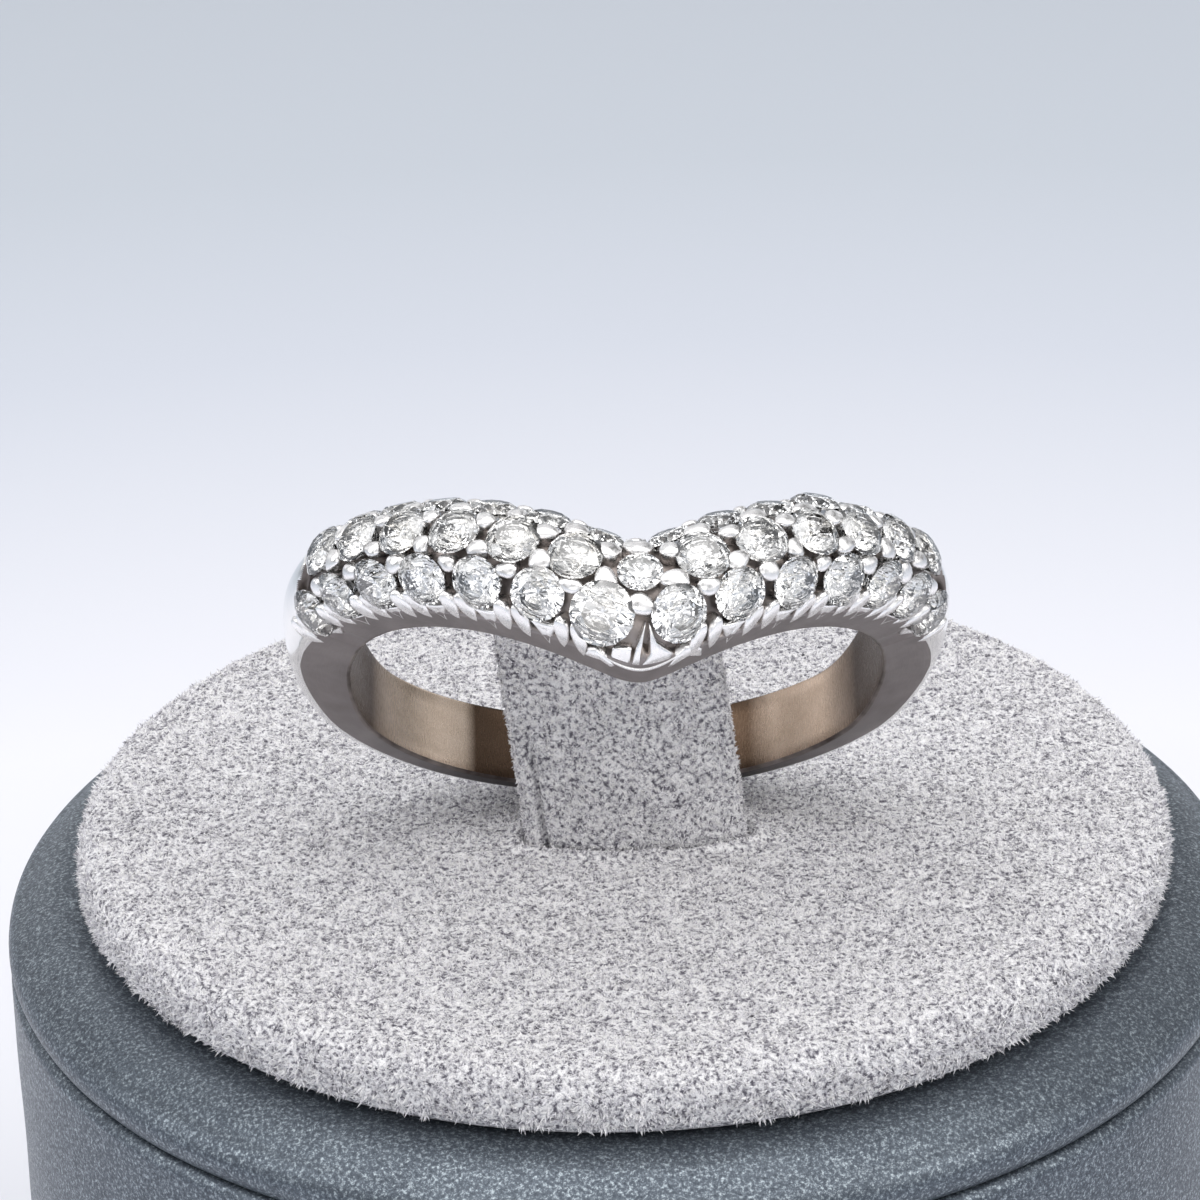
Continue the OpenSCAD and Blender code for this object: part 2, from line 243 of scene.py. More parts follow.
def grid_faces(rows, cols, wrap_rows, wrap_cols):
    """Quads of a rows by cols grid of points, row after row."""
    i = np.arange(rows if wrap_rows else rows - 1)
    j = np.arange(cols if wrap_cols else cols - 1)
    i, j = np.meshgrid(i, j, indexing="ij")
    i2, j2 = (i + 1) % rows, (j + 1) % cols
    quads = np.stack([i * cols + j, i * cols + j2, i2 * cols + j2, i2 * cols + j], axis=-1)
    return quads.reshape(-1, 4)


def tube_faces(levels, around):
    """A wall of levels loops, and a cap at either end."""
    faces = grid_faces(levels, around, False, True).tolist()
    faces.append(list(range(around))[::-1])
    faces.append([(levels - 1) * around + k for k in range(around)])
    return faces


def capped(rings, peak):
    """Points and faces of a piece from loops of points, with a flat foot and a peak."""
    around = len(rings[0])
    pts = np.concatenate(list(rings) + [peak[None]])
    faces = grid_faces(len(rings), around, False, True).tolist()
    last = (len(rings) - 1) * around
    faces += [[last + k, last + (k + 1) % around, len(pts) - 1] for k in range(around)]
    faces.append(list(range(around))[::-1])
    return pts, faces


def strip(rows):
    """Points and faces of a piece from rows of points, closed along its foot and at its ends."""
    steps, across = len(rows), len(rows[0])
    faces = grid_faces(steps, across, False, False).tolist()
    faces.append([r * across for r in range(steps)] + [r * across + across - 1 for r in range(steps)][::-1])
    faces.append(list(range(across))[::-1])
    faces.append([(steps - 1) * across + k for k in range(across)])
    return np.concatenate(rows), faces


def join(parts):
    """One mesh from several pieces' points and faces."""
    pts, faces, base = [], [], 0
    for p, f in parts:
        pts.append(p)
        faces += [[base + k for k in face] for face in f]
        base += len(p)
    return np.concatenate(pts), faces


LAY = "lay"  # the band's UV layer: millimetres round the finger and across


def add_loop_uv(obj, uv):
    """uv gives one pair of millimetres a corner of each face, face after face."""
    layer = obj.data.uv_layers.new(name=LAY)
    layer.data.foreach_set("uv", np.asarray(uv, float).ravel())


# Materials
def new_material(name):
    mat = bpy.data.materials.new(name)
    mat.use_nodes = True
    return mat, mat.node_tree, mat.node_tree.nodes["Principled BSDF"]


def put(node, **values):
    for key, value in values.items():
        node.inputs[key.replace("_", " ")].default_value = value


def noise(tree, vector, scale, detail=3.0, rough=0.6, stretch=None, uv=None):
    """Noise over object coordinates in metres, or over the named UV in millimetres."""
    if uv:
        source = tree.nodes.new("ShaderNodeUVMap")
        source.uv_map = uv
        out = source.outputs["UV"]
    else:
        out = vector
    if stretch:
        mapping = tree.nodes.new("ShaderNodeMapping")
        mapping.inputs["Scale"].default_value = stretch
        tree.links.new(out, mapping.inputs["Vector"])
        out = mapping.outputs["Vector"]
    node = tree.nodes.new("ShaderNodeTexNoise")
    node.inputs["Scale"].default_value = scale
    node.inputs["Detail"].default_value = detail
    node.inputs["Roughness"].default_value = rough
    tree.links.new(out, node.inputs["Vector"])
    return node.outputs["Fac"]


def ramp(tree, fac, stops):
    node = tree.nodes.new("ShaderNodeValToRGB")
    elements = node.color_ramp.elements
    while len(elements) < len(stops):
        elements.new(0.5)
    for element, (place, colour) in zip(elements, stops):
        element.position = place
        element.color = (*colour, 1) if len(colour) == 3 else colour
    tree.links.new(fac, node.inputs["Fac"])
    return node.outputs["Color"]


def grey(value):
    return (value, value, value)


def mixed(tree, a, b, factor, blend="MIX"):
    node = tree.nodes.new("ShaderNodeMix")
    node.data_type = "RGBA"
    node.blend_type = blend
    node.inputs["Factor"].default_value = factor
    tree.links.new(a, node.inputs["A"])
    tree.links.new(b, node.inputs["B"])
    return node.outputs["Result"]


def bump(tree, height_out, strength, distance):
    node = tree.nodes.new("ShaderNodeBump")
    node.inputs["Strength"].default_value = strength
    node.inputs["Distance"].default_value = distance
    tree.links.new(height_out, node.inputs["Height"])
    return node.outputs["Normal"]


def object_coords(tree):
    return tree.nodes.new("ShaderNodeTexCoord").outputs["Object"]


def metal(name, colours, rough, grain_scale, bump_mm, uv=None, stretch=None):
    mat, tree, shader = new_material(name)
    coords = object_coords(tree)
    put(shader, Metallic=1.0)
    cloud = noise(tree, coords, 900, detail=2)
    tree.links.new(ramp(tree, cloud, [(0.3, colours[0]), (0.7, colours[1])]), shader.inputs["Base Color"])
    lines = noise(tree, coords, grain_scale, detail=4, rough=0.65, stretch=stretch, uv=uv)
    tree.links.new(ramp(tree, lines, [(0.25, grey(rough[0])), (0.75, grey(rough[1]))]),
                   shader.inputs["Roughness"])
    tree.links.new(bump(tree, lines, 0.6, bump_mm * MM), shader.inputs["Normal"])
    return mat


polished = metal("white_gold_polished", [(0.87, 0.865, 0.85), (0.93, 0.925, 0.915)], (0.06, 0.16),
                 grain_scale=2500, bump_mm=0.004)
prong_metal = metal("white_gold_prongs", [(0.88, 0.86, 0.85), (0.97, 0.955, 0.945)], (0.16, 0.4),
                    grain_scale=3500, bump_mm=0.01)
# Dark metal that paints the shade of the cut recesses between the stones and of the finger hole's near rounded
# edge.
recess_shade_metal = metal("white_gold_painted_shade", [(0.1, 0.082, 0.075), (0.36, 0.32, 0.3)], (0.25, 0.5),
                    grain_scale=4000, bump_mm=0.01)
satin = metal("white_gold_satin", [(0.235, 0.213, 0.208), (0.31, 0.28, 0.275)], (0.34, 0.48),
              grain_scale=9.0, bump_mm=0.006, uv=LAY, stretch=(0.25, 2.2, 1))
bore = metal("white_gold_bore", [(0.62, 0.49, 0.38), (0.74, 0.6, 0.485)], (0.2, 0.36),
             grain_scale=8.0, bump_mm=0.008, uv=LAY, stretch=(2.4, 0.35, 1))


SHADE_START, SHADE_END = 64, 296
# specular level of the metal where the deepest painted shade is
SHADED_SPECULAR = 0.15


def shade_by_turn(mat, stops, dull=None):
    """Paints shade into a metal's colour along the turn of the band, by multiplying it: stops are degrees from
    the tip and colours.

    Where a stop's colour is the one called dull, the painted shade is also kept from shining: the metal turns
    non-metallic there."""
    tree = mat.node_tree
    shader = tree.nodes["Principled BSDF"]
    base = shader.inputs["Base Color"].links[0].from_socket
    lay = tree.nodes.new("ShaderNodeUVMap")
    lay.uv_map = LAY
    split = tree.nodes.new("ShaderNodeSeparateXYZ")
    tree.links.new(lay.outputs["UV"], split.inputs["Vector"])
    whole = tree.nodes.new("ShaderNodeMath")
    whole.operation = "FLOORED_MODULO"
    whole.inputs[1].default_value = 2 * math.pi * BORE_R
    tree.links.new(split.outputs["X"], whole.inputs[0])
    turn = tree.nodes.new("ShaderNodeMapRange")
    turn.inputs["From Min"].default_value = math.radians(SHADE_START) * BORE_R
    turn.inputs["From Max"].default_value = math.radians(SHADE_END) * BORE_R
    tree.links.new(whole.outputs["Value"], turn.inputs["Value"])
    stops = [((turn_at - SHADE_START) / (SHADE_END - SHADE_START), colour) for turn_at, colour in stops]
    shade = ramp(tree, turn.outputs["Result"], stops)
    tree.links.new(mixed(tree, base, shade, 1, "MULTIPLY"), shader.inputs["Base Color"])
    if dull:
        bare = [(place, grey(0.0 if colour is dull else 1.0)) for place, colour in stops]
        tree.links.new(ramp(tree, turn.outputs["Result"], bare), shader.inputs["Metallic"])
        shader.inputs["Specular IOR Level"].default_value = SHADED_SPECULAR


# Painted shade for the finger hole and the satin sides, standing for the dark tab and surroundings that the
# metal reflects: darkest in two zones along the sides, dark under and beside the tab, partly dark where these
# fade, and left as it is elsewhere.
DEEP_SHADE, UNSHADED, PART_SHADE = (0.08, 0.066, 0.058), (1.0, 1.0, 1.0), (0.72, 0.68, 0.66)
TAB_SHADE, TAB_SIDE_SHADE = (0.16, 0.13, 0.11), (0.25, 0.22, 0.21)
shade_by_turn(bore, [(68, PART_SHADE), (82, DEEP_SHADE), (109, DEEP_SHADE), (123, PART_SHADE), (138, PART_SHADE), (145, TAB_SHADE),
                     (210, TAB_SHADE), (213, UNSHADED), (230, UNSHADED), (246, DEEP_SHADE), (280, DEEP_SHADE), (292, PART_SHADE)],
              dull=DEEP_SHADE)
shade_by_turn(satin, [(64, UNSHADED), (126, UNSHADED), (146, TAB_SIDE_SHADE), (207, TAB_SIDE_SHADE), (226, UNSHADED), (296, UNSHADED)])


def diamond_material():
    mat, tree, shader = new_material("diamond")
    put(shader, Metallic=0.0, Roughness=0.0, IOR=2.417)
    shader.inputs["Transmission Weight"].default_value = 1.0
    tint = noise(tree, object_coords(tree), 700, detail=1)
    tree.links.new(ramp(tree, tint, [(0.35, (0.99, 0.97, 0.93)), (0.6, (0.98, 0.985, 1.0))]),
                   shader.inputs["Base Color"])
    return mat


diamond = diamond_material()


def suede_material(name, pit_shade, dark, light, sheen):
    mat, tree, shader = new_material(name)
    coords = object_coords(tree)
    put(shader, Roughness=0.95, Metallic=0.0)
    shader.inputs["Specular IOR Level"].default_value = 0.12
    shader.inputs["Sheen Weight"].default_value = sheen
    shader.inputs["Sheen Roughness"].default_value = 0.5
    shader.inputs["Sheen Tint"].default_value = (0.95, 0.93, 1.0, 1)
    fine = noise(tree, coords, 6200, detail=3, rough=0.62)
    # The noise's low places are painted shade of the nap's crevices, darkest at the first colour, rising to
    # the suede's own light colour.
    tree.links.new(ramp(tree, fine, [(0.36, pit_shade), (0.46, dark), (0.57, light)]), shader.inputs["Base Color"])
    tree.links.new(bump(tree, fine, 1.0, 0.25 * MM), shader.inputs["Normal"])
    return mat


# Each suede's first two colours grade from painted shade in its pits, and the third is its own colour.
suede = suede_material("suede_base", (0.12, 0.115, 0.14), (0.5, 0.49, 0.52), (0.95, 0.94, 0.95), 0.2)
nap = suede_material("suede_nap", (0.42, 0.405, 0.45), (0.88, 0.865, 0.9), (1.0, 0.99, 0.985), 0.4)


def leatherette_material():
    mat, tree, shader = new_material("leatherette")
    coords = object_coords(tree)
    put(shader, Metallic=0.72)
    grain = noise(tree, coords, 8500, detail=4, rough=0.8)
    cloud = noise(tree, coords, 420, detail=3, rough=0.6)
    specks = ramp(tree, grain, [(0.3, (0.02, 0.025, 0.033)), (0.52, (0.1, 0.119, 0.144)),
                                (0.7, (0.6, 0.68, 0.72))])
    patches = ramp(tree, cloud, [(0.3, (0.06, 0.071, 0.09)), (0.7, (0.136, 0.157, 0.183))])
    tree.links.new(mixed(tree, specks, patches, 0.25), shader.inputs["Base Color"])
    tree.links.new(ramp(tree, grain, [(0.35, grey(0.48)), (0.7, grey(0.3))]), shader.inputs["Roughness"])
    tree.links.new(bump(tree, grain, 0.6, 0.02 * MM), shader.inputs["Normal"])
    return mat


leatherette = leatherette_material()


# Ring band
FINE_END = 84  # how far round the finger the fine sections go
FINE_STEP, COARSE_STEP = 0.27, 1.5
CROWN_POINTS = 88
BORE_POINTS, FACE_POINTS, ROUND_POINTS = 7, 6, 4
EDGE_ROUND = 0.12  # rounding of the finger hole's edges
LAND = 0.34  # how deep the metal between the stones is cut
RIM_FROM = 57  # where the crown turns into the satin rim, in degrees over the crown
ROW_END = row_phi(FRONT, FRONT.stones - 1) + 0.55 * PITCH
BACK_END = row_phi(BACK, BACK.stones - 1) + 0.5 * PITCH
MIDDLE_END = row_phi(MIDDLE, MIDDLE.stones - 1) + 0.62 * PITCH
SEAT_GAP, SEAT_DEEP, SEAT_SLOPE = 0.03, 0.03, 2 * PAVILION * 1.04
LAND_REACH, LAND_FADE = 0.75, 0.3  # how far from a stone the cut metal goes, and over what it fades
LAND_FROM, LAND_TO = -56, 66.5  # where over the crown the cut metal begins and ends
END_FADE, FROM_FADE, TO_FADE = 1.6, 6, 5  # how softly, there and at the rows' ends
LAND_OVER = 0.05  # the cut is land where it is this much deeper than a seat
MIDDLE_AT, FRONT_AT = -12, 32  # about where over the crown these rows lie
SEAT_REACH = 1.2  # points further above or below a stone than this aren't its seat
POLISHED_SLOT, SATIN_SLOT, BORE_SLOT, SHADE_SLOT = range(4)


def stations():
    """Angles of the band's sections, from -180 to 180 and running on."""
    fine = np.arange(-FINE_END, FINE_END + 1e-6, FINE_STEP)
    rest = np.linspace(FINE_END, 360 - FINE_END, int((360 - 2 * FINE_END) / COARSE_STEP))[1:-1]
    phi = np.concatenate([fine, rest])
    return (phi + 180) % 360 - 180, phi


def curve3(a, b, c, n):
    """Points of a quadratic curve from a to c, pulled towards b."""
    s = np.linspace(0, 1, n)[:, None, None]
    return (1 - s) ** 2 * a + 2 * s * (1 - s) * b + s ** 2 * c


def relief(phi, t):
    """How far the crown's surface is cut down at each point, and where that is land between the stones."""
    p = crown_frame(phi, t)[0]
    gap = np.full(phi.shape, np.inf)
    seat = np.zeros(phi.shape)
    for row, j, s_phi, s_t, d in STONES:
        c, _, _, cn = crown_frame(np.array(s_phi), np.array(s_t))
        rel = p - c
        rho = np.linalg.norm(rel - (rel @ cn)[..., None] * cn, axis=-1)
        near = np.abs(rel @ cn) < SEAT_REACH
        edge = d / 2 + SEAT_GAP
        depth = sink_of(row, j) + GIRDLE * d / 2 + SEAT_DEEP + (edge - rho) * SEAT_SLOPE
        seat = np.where(near & (rho < edge), np.maximum(seat, depth + (rel @ cn)), seat)
        gap = np.where(near, np.minimum(gap, rho - edge), gap)
    row_end = np.interp(t, [-BACK_ROW, MIDDLE_AT, FRONT_AT], [BACK_END, MIDDLE_END, ROW_END])
    inside = (smooth((row_end - np.abs(phi)) / END_FADE) * smooth((LAND_TO - t) / TO_FADE)
              * smooth((t - LAND_FROM) / FROM_FADE))
    land = LAND * inside * smooth((LAND_REACH - gap) / LAND_FADE)
    return np.maximum(land, seat), land > seat + LAND_OVER


def build_band():
    phi, phi_run = stations()
    t = np.linspace(CORNER, -CORNER, CROWN_POINTS)
    grid_phi, grid_t = np.meshgrid(phi, t, indexing="ij")
    p, _, _, n = crown_frame(grid_phi, grid_t)
    cut, is_land = relief(grid_phi, grid_t)
    crown = p - n * cut[..., None]
    near_low = ring_pt(phi, BORE_R + 0 * phi, near_z(phi))
    far_low = ring_pt(phi, BORE_R + 0 * phi, far_z(phi))
    axis = np.array([0, 0, 1.0])

    def face(low, corner):
        """Points of a side face, from past the rounded edge to the crown's corner."""
        way = unit(corner - low)
        start = low + way * EDGE_ROUND
        s = np.linspace(0, 1, FACE_POINTS)[:-1, None, None]
        return start + (corner - start) * s

    def edge(low, corner, sign):
        """Points of the finger hole's rounded edge."""
        way = unit(corner - low)
        return curve3(low - sign * EDGE_ROUND * axis, low, low + way * EDGE_ROUND, ROUND_POINTS)[:-1]

    near_face = face(near_low, crown[:, 0])
    far_face = face(far_low, crown[:, -1])
    near_edge = edge(near_low, crown[:, 0], 1)
    far_edge = edge(far_low, crown[:, -1], -1)
    s = np.linspace(0, 1, BORE_POINTS)[1:-1, None, None]
    inner = far_edge[0] + (near_edge[0] - far_edge[0]) * s
    loops = [*inner, *near_edge, *near_face, *np.swapaxes(crown, 0, 1), *far_face[::-1], *far_edge[::-1]]
    pts = np.stack(loops, axis=1)
    rows, cols = pts.shape[:2]
    faces = grid_faces(rows, cols, True, True)[:, ::-1]
    obj = make_object("band_metal", to_world(pts).reshape(-1, 3), faces)
    run = np.concatenate([[0], np.cumsum(np.linalg.norm(np.diff(pts[0], axis=0), axis=1))])
    along = np.radians(np.append(phi_run, phi_run[0] + 360)) * BORE_R
    across = np.append(run, run[-1] + np.linalg.norm(pts[0, 0] - pts[0, -1]))
    station, col = (a.ravel() for a in np.meshgrid(np.arange(rows), np.arange(cols), indexing="ij"))
    i, j = station[:, None] + np.array([1, 1, 0, 0]), col[:, None] + np.array([0, 1, 1, 0])
    add_loop_uv(obj, np.stack([along[i], across[j]], axis=-1))
    for mat in (polished, satin, bore, recess_shade_metal):
        obj.data.materials.append(mat)
    n_in, n_edge, n_face = len(inner), len(near_edge), len(near_face)
    is_bore = (col < n_in + 1) | (col >= cols - 2)
    is_face = ((col >= n_in + n_edge) & (col < n_in + n_edge + n_face)) | (
        (col >= n_in + n_edge + n_face + CROWN_POINTS - 1) & (col < cols - 2))
    # The near rounded edge of the finger hole takes the dark metal of painted shade.
    near_rim = (col >= n_in) & (col < n_in + n_edge)
    index = np.where(is_face, SATIN_SLOT, POLISHED_SLOT)
    index = np.where(near_rim, SHADE_SLOT, np.where(is_bore, BORE_SLOT, index))
    first = n_in + n_edge + n_face
    on_crown = (col >= first) & (col < first + CROWN_POINTS - 1)
    place = np.clip(col - first, 0, CROWN_POINTS - 1)
    deep = is_land[station, place]
    rim = (t[place] > RIM_FROM) & (np.abs(phi[station]) < ROW_END)
    # Land cut between the stones takes the dark metal of painted shade, and the crown's rim towards the near
    # side turns satin.
    index = np.where(on_crown & deep, SHADE_SLOT, np.where(on_crown & rim, SATIN_SLOT, index))
    obj.data.polygons.foreach_set("material_index", index.astype(np.int32))
    return obj


band = build_band()
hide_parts("ring_band")
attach(band, "root")


# Prongs
def dome(centre, u, w, n, a, b, rise, root, around=16, up=6):
    """Points and faces of an uneven dome of half axes a, b and rise over a short skirt."""
    turn = np.linspace(0, 2 * math.pi, around, endpoint=False)
    uneven = 1 + 0.1 * np.sin(turn * 2 + RNG.uniform(0, 6.28)) + 0.07 * np.sin(turn * 3 + RNG.uniform(0, 6.28))
    a, b = a * uneven, b * uneven
    lift = np.linspace(0, math.pi / 2, up)[:-1]
    rings = [(1.0, -root)] + [(math.cos(q), rise * math.sin(q)) for q in lift]
    return capped([centre + (a * s * np.cos(turn))[:, None] * u + (b * s * np.sin(turn))[:, None] * w + z * n
                   for s, z in rings], centre + rise * n)


BEAD_R = 0.3
BEAD_SINK, BEAD_RISE, BEAD_ROOT = 0.04, 0.17, 0.36
TIP_BEADS, TIP_GROW = 9, 1.2  # beads nearer the tip than 9 degrees are larger
BEAD_SIZES, BEAD_LONG, BEAD_WIDE = (0.88, 1.12), (1.05, 1.4), (0.9, 1.1)  # limits of random shares
BEAD_LEAN = 0.12  # spread of their slopes
FAR_BEAD = (0.25, 0.16, 0.12, 0.2)  # half axes, rise and root of the beads along the far edge
FAR_BEADS_AT = 2.0 - CORNER
beads = []
for row_a, row_b in ((FRONT, MIDDLE), (MIDDLE, BACK)):
    for one, other in ((row_a, row_b), (row_b, row_a)):
        for j in range(one.stones - 1):
            left, right = row_phi(one, j), row_phi(one, j + 1)
            near = [row_phi(other, k) for k in range(other.stones) if left < row_phi(other, k) < right]
            if near:
                phi = (left + right + near[0]) / 3
                t = (2 * row_angle(one, phi) + row_angle(other, phi)) / 3
                c, u, w, n = crown_frame(np.array(phi), np.array(t))
                s = BEAD_R * RNG.uniform(*BEAD_SIZES) * (TIP_GROW if abs(phi) < TIP_BEADS else 1)
                tilted = unit(n + RNG.normal(0, BEAD_LEAN) * u + RNG.normal(0, BEAD_LEAN) * w)
                long, wide = s * RNG.uniform(*BEAD_LONG), s * RNG.uniform(*BEAD_WIDE)
                beads.append(dome(c - BEAD_SINK * n, u, w, tilted, long, wide, BEAD_RISE, BEAD_ROOT))
for j in range(BACK.stones - 1):
    phi = (row_phi(BACK, j) + row_phi(BACK, j + 1)) / 2
    c, u, w, n = crown_frame(np.array(phi), np.array(FAR_BEADS_AT))
    beads.append(dome(c - BEAD_SINK * n, u, w, n, *FAR_BEAD))
pts, faces = join(beads)
bead_piece = make_object("bead_prongs", to_world(pts), faces)
bead_piece.data.materials.append(prong_metal)
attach(bead_piece, "root")


EDGE_TURN = 0.16  # how far on either side of the corner the normal turns


def edge_frame(phi, x):
    """Frame x millimetres past the crown's near corner, down the side face, or before it on the crown."""
    t = np.linspace(CORNER, MIDDLE_AT, 80)
    line = crown_pt(phi, t)
    back = np.concatenate([[0], np.cumsum(np.linalg.norm(np.diff(line, axis=0), axis=1))])
    p, u, _, n = crown_frame(np.array(float(phi)), np.array(float(np.interp(max(0.0, -x), back, t))))
    low = ring_pt(np.array(float(phi)), BORE_R, near_z(phi))
    way = unit(low - line[0])
    face_n = unit(np.cross(u, way))
    face_n = face_n if face_n @ n > 0 else -face_n
    if x > 0:
        p = line[0] + way * x
    turn = smooth((x + EDGE_TURN) / (2 * EDGE_TURN))
    n = unit(n * (1 - turn) + face_n * turn)
    return p, u, n


PRESSED = 0.02  # how deep the leaves and plates are pressed into the band
WIDEST = 0.34  # how far along a leaf its widest place is


def leaf(phi0, x0, phi1, x1, wide, rise, steps=16, across=11):
    """A claw shaped like a leaf, from beside a stone down over the near edge."""
    rows = []
    for k in range(steps):
        s = k / (steps - 1)
        c, u, n = edge_frame(phi0 + (phi1 - phi0) * s, x0 + (x1 - x0) * s)
        if s < WIDEST:
            full = math.sqrt(max(0, 1 - (1 - s / WIDEST) ** 2))
        else:
            full = 1 - ((s - WIDEST) / (1 - WIDEST)) ** 1.7
        width = wide * max(0.04, full)
        high = rise * (1 - 0.6 * s) * (width / wide) ** 0.5
        q = np.linspace(-1, 1, across)
        z = high * (1 - np.abs(q) ** 4) * (1 - 0.25 * q)
        z[0] = z[-1] = -0.3 * (1 - s) - 0.03
        rows.append(c + (q * width / 2)[:, None] * u + (z - PRESSED)[:, None] * n)
    return strip(rows)


def shield(phi, wide, x0, x1, lean):
    """A bright cut under a stone: a plate with three points and hollow sides."""
    corners = [(-wide / 2, x0), (wide / 2, x0), (lean, x1)]
    mid = (lean * 0.3, x0 + (x1 - x0) * 0.36)
    outline = []
    for a, b in ((0, 1), (1, 2), (2, 0)):
        p, q = np.array(corners[a]), np.array(corners[b])
        bend = (p + q) / 2 * 0.55 + np.array(mid) * 0.45
        for f in np.linspace(0, 1, 7)[:-1]:
            outline.append((1 - f) ** 2 * p + 2 * f * (1 - f) * bend + f * f * q)
    rings = []
    for size, lift in ((1.0, -0.25), (1.0, 0.0), (0.8, 0.035), (0.4, 0.02)):
        ring = []
        for along, x in outline:
            along, x = mid[0] + (along - mid[0]) * size, mid[1] + (x - mid[1]) * size
            c, u, n = edge_frame(phi, x)
            ring.append(c + along * u + (lift - 0.03) * n)
        rings.append(np.array(ring))
    c, u, n = edge_frame(phi, mid[1])
    return capped(rings, c + mid[0] * u - PRESSED * n)


def plate(corners, high, root=0.36, steps=5):
    """A closed plate whose corners are given as angle and millimetres past the crown's corner."""
    outline = []
    for p, q in zip(corners, corners[1:] + corners[:1]):
        for f in np.linspace(0, 1, steps)[:-1]:
            outline.append((1 - f) * np.array(p) + f * np.array(q))
    mid = np.mean(corners, axis=0)
    rings = []
    for size, lift in ((1.0, -root), (1.0, 0.0), (0.8, high), (0.4, high * 1.2)):
        ring = []
        for phi, x in mid + (np.array(outline) - mid) * size:
            c, _, n = edge_frame(phi, x)
            ring.append(c + (lift - PRESSED) * n)
        rings.append(np.array(ring))
    c, _, n = edge_frame(*mid)
    return capped(rings, c + (high * 1.2 - PRESSED) * n)


def rim_line(start=-6.2, end=7.0, wide=0.17, high=0.07, root=0.2, steps=30, across=7):
    """The bright line along the edge under the tip's plates."""
    rows = []
    for k in range(steps):
        s = k / (steps - 1)
        phi = start + (end - start) * s
        full = max(0.08, math.sqrt(1 - (2 * s - 1) ** 4))
        x = 0.16 - 0.22 * (2 * s - 1) ** 2
        row = []
        for q in np.linspace(1, -1, across):
            c, _, n = edge_frame(phi, x + q * wide / 2 * full)
            row.append(c + (high * full * (1 - q ** 4) - (root if abs(q) == 1 else PRESSED)) * n)
        rows.append(np.array(row))
    return strip(rows)


# Plates of the tip with the dark slit between the first two: corners and height
TIP_PLATES = (
    ([(0.75, -1.5), (0.05, -0.5), (-0.1, -0.02), (-1.5, -0.02), (-0.7, -0.75)], 0.05),
    ([(1.3, -1.45), (2.6, -0.85), (6.0, -0.22), (5.6, -0.02), (0.2, -0.02), (1.75, -0.45)], 0.05),
    ([(-4.8, -0.5), (-1.6, -0.62), (-1.9, -0.05), (-5.2, -0.1)], 0.0),
    ([(-10.2, 0.2), (-9.2, -0.16), (-7.6, -0.3), (-6.2, -0.14), (-4.4, 0.22), (-4.9, 0.36),
      (-7.0, 0.12)], 0.06),
    ([(5.3, 0.42), (6.6, -0.12), (8.0, -0.32), (10.2, -0.25), (12.0, 0.12), (12.6, 0.55),
      (10.2, 0.2), (7.4, 0.14)], 0.06),
)
TIP_FREE = 9  # no shields nearer the tip than this, in degrees
LEAF_W, LEAF_RISE, LEAF_FROM = 0.62, 0.19, -1.0
LEAF_SPREAD = (0.2, 0.3)  # degrees a pair leans together at the stone, and apart at its foot
LEAF_WIDTHS, LEAF_ENDS = (0.88, 1.08), (0.15, 0.35)  # limits of what is drawn at random
SHIELD_WIDTHS, SHIELD_ENDS, SHIELD_LEANS = (0.85, 1.1), (0.42, 0.58), (-0.2, 0.2)
SHIELD_GAP = 0.02  # between a stone and the shield under it
leaves = []
last = FRONT.stones - 1
for j in range(-1, last + 1):
    left = row_phi(FRONT, j) if j >= 0 else row_phi(FRONT, 0) - PITCH
    right = row_phi(FRONT, j + 1) if j < last else row_phi(FRONT, last) + PITCH
    left_rim = size_of(FRONT, max(0, j)) / 2 * TURN_PER_MM
    right_rim = size_of(FRONT, min(last, j + 1)) / 2 * TURN_PER_MM
    middle = (left + left_rim + right - right_rim) / 2
    if left < 0 < right:
        continue
    for side in (-1, 1):
        wide = LEAF_W * RNG.uniform(*LEAF_WIDTHS)
        phi = middle + side * wide * 0.5 * TURN_PER_MM
        leaves.append(leaf(phi - side * LEAF_SPREAD[0], LEAF_FROM, phi + side * LEAF_SPREAD[1],
                           RNG.uniform(*LEAF_ENDS), wide, LEAF_RISE))
for j in range(last + 1):
    phi = row_phi(FRONT, j)
    to_corner = float(np.linalg.norm(crown_pt(phi, CORNER) - crown_pt(phi, row_angle(FRONT, phi))))
    start = size_of(FRONT, j) / 2 - to_corner + SHIELD_GAP
    if abs(phi) > TIP_FREE:
        leaves.append(shield(phi, RNG.uniform(*SHIELD_WIDTHS), start, RNG.uniform(*SHIELD_ENDS),
                             RNG.uniform(*SHIELD_LEANS)))
leaves += [plate(corners, high) for corners, high in TIP_PLATES] + [rim_line()]
pts, faces = join(leaves)
leaf_piece = make_object("leaf_prongs", to_world(pts), [face[::-1] for face in faces])
leaf_piece.data.materials.append(prong_metal)
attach(leaf_piece, "root")


